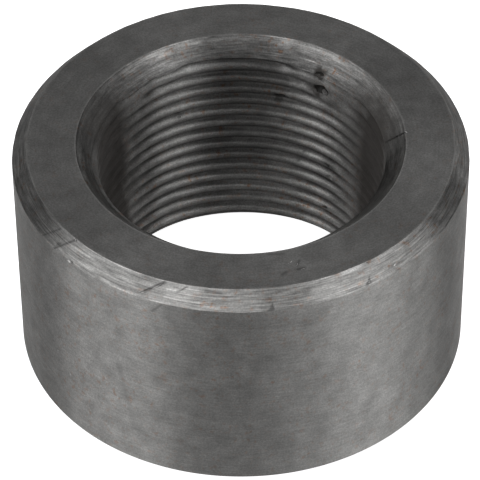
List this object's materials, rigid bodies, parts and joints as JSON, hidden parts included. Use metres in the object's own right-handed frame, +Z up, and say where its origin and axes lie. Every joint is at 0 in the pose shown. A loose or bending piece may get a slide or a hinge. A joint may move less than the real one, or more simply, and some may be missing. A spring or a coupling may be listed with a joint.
{
  "type": "oxygen sensor weld bung",
  "caption": "Thick-walled turned steel ring with a fine internal thread and a countersink at each end of its bore, welded to an exhaust pipe to hold a screw-in sensor.",
  "frame": {"origin": "centre of the foot, where the axis of the bore meets the plane that is welded to the pipe", "axes": "+Z up the axis of the bore, from the foot to the chamfered end that the sensor screws into; +X and +Y are arbitrary, because the ring is round"},
  "size_m": [0.03, 0.03, 0.0162],
  "materials": {
    "turned_steel": "turned and lightly oxidised, matt grey, brighter on the machined chamfer and countersink"
  },
  "bodies": {
    "root": {"weld_bung": "turned_steel"}
  },
  "joints": []
}
